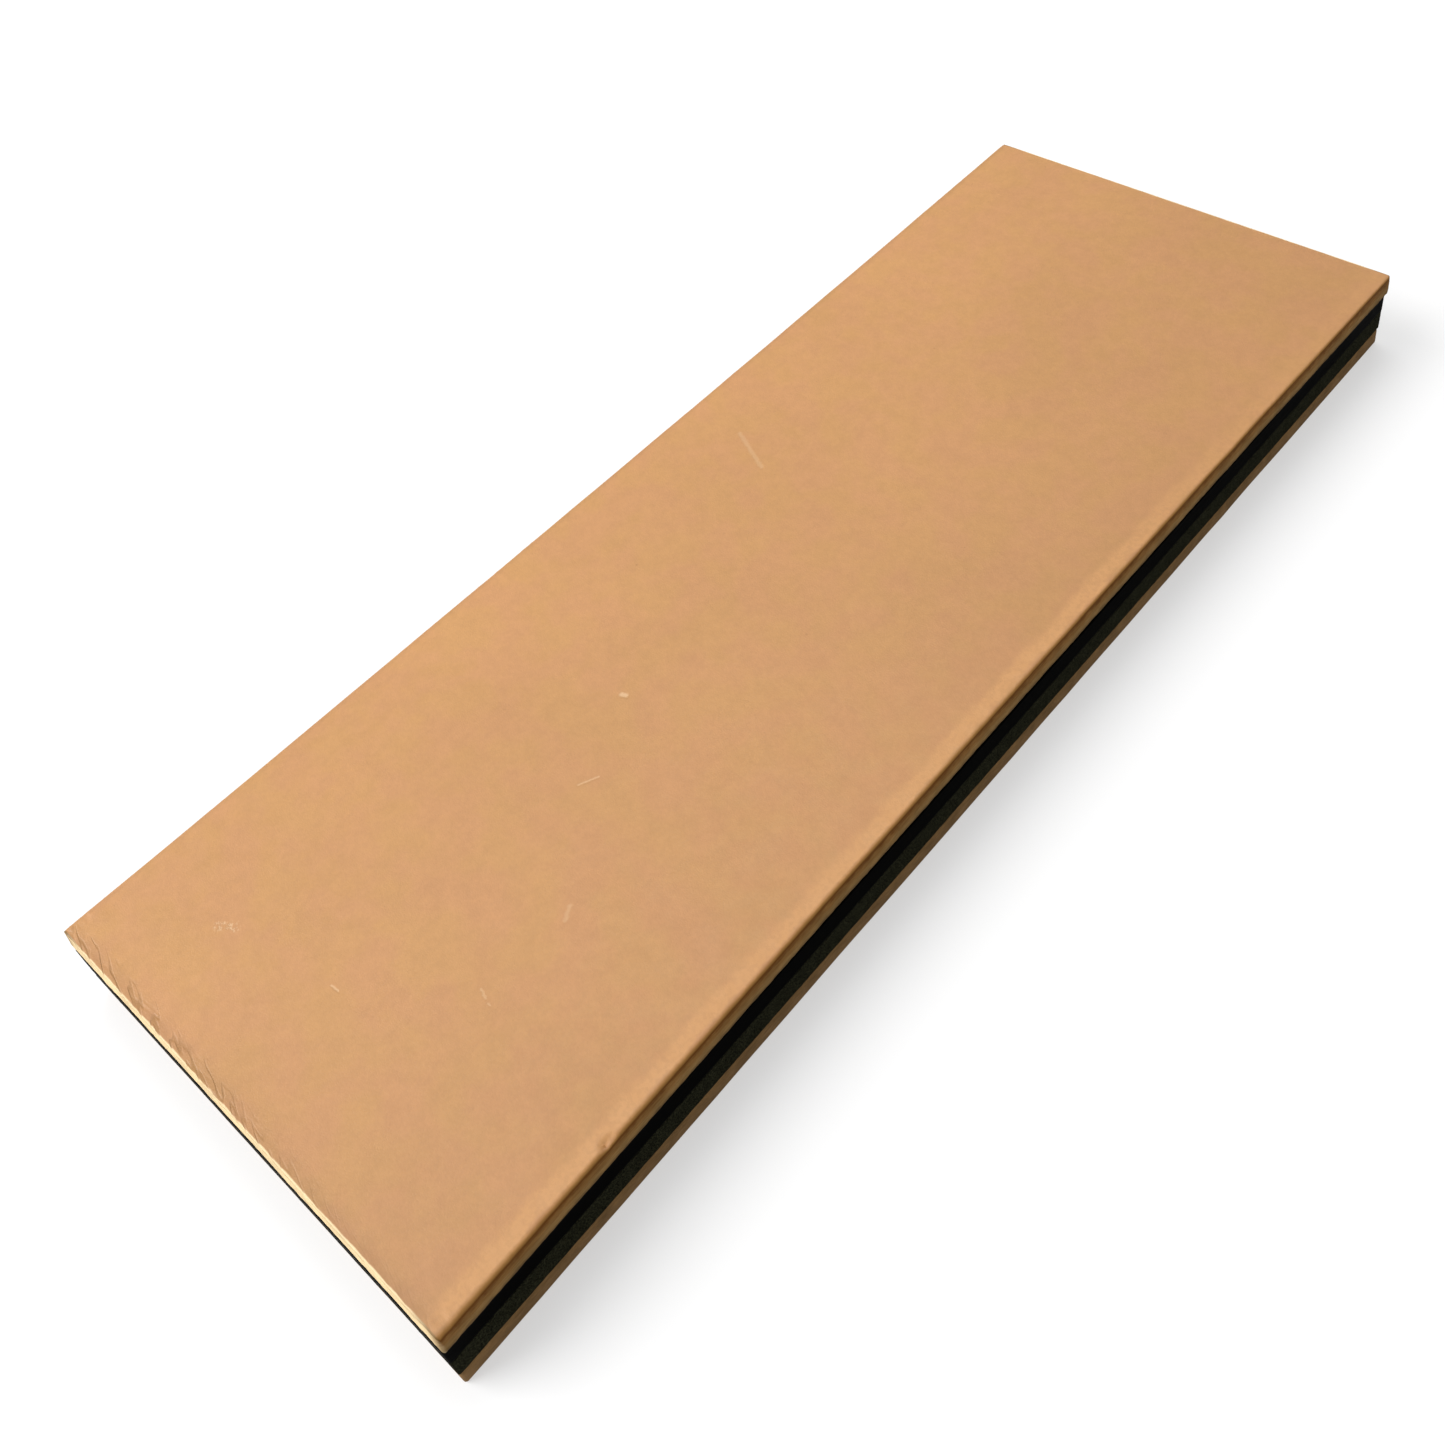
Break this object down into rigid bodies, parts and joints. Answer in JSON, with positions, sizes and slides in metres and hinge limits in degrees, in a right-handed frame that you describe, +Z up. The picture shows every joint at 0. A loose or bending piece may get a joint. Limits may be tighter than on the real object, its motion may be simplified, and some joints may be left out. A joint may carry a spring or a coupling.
{
  "type": "leather strop",
  "caption": "Flat rectangular bench strop: smooth tan leather over a black and grey layered base, with a second leather on the underside.",
  "frame": {"origin": "centre of the underside, where the strop rests on the bench", "axes": "+Z up through the layers, +Y along the strop, +X across it"},
  "size_m": [0.075, 0.205, 0.0143],
  "materials": {
    "top_leather": "smooth vegetable-tanned grain side, satin sheen, rolled edge, raw cut sides",
    "black_backing": "even deep black, satin, sawn square",
    "grey_core": "dark charcoal grey, matt, fine granular sawn edge",
    "bottom_leather": "napped flesh side, matt, raw cut sides",
    "adhesive": "thin dried contact adhesive, hidden between the layers"
  },
  "bodies": {
    "root": {"top_leather": "top_leather", "top_adhesive_film": "adhesive", "black_backing_board": "black_backing", "middle_adhesive_film": "adhesive", "grey_core_board": "grey_core", "bottom_adhesive_film": "adhesive", "bottom_leather": "bottom_leather"}
  },
  "joints": []
}
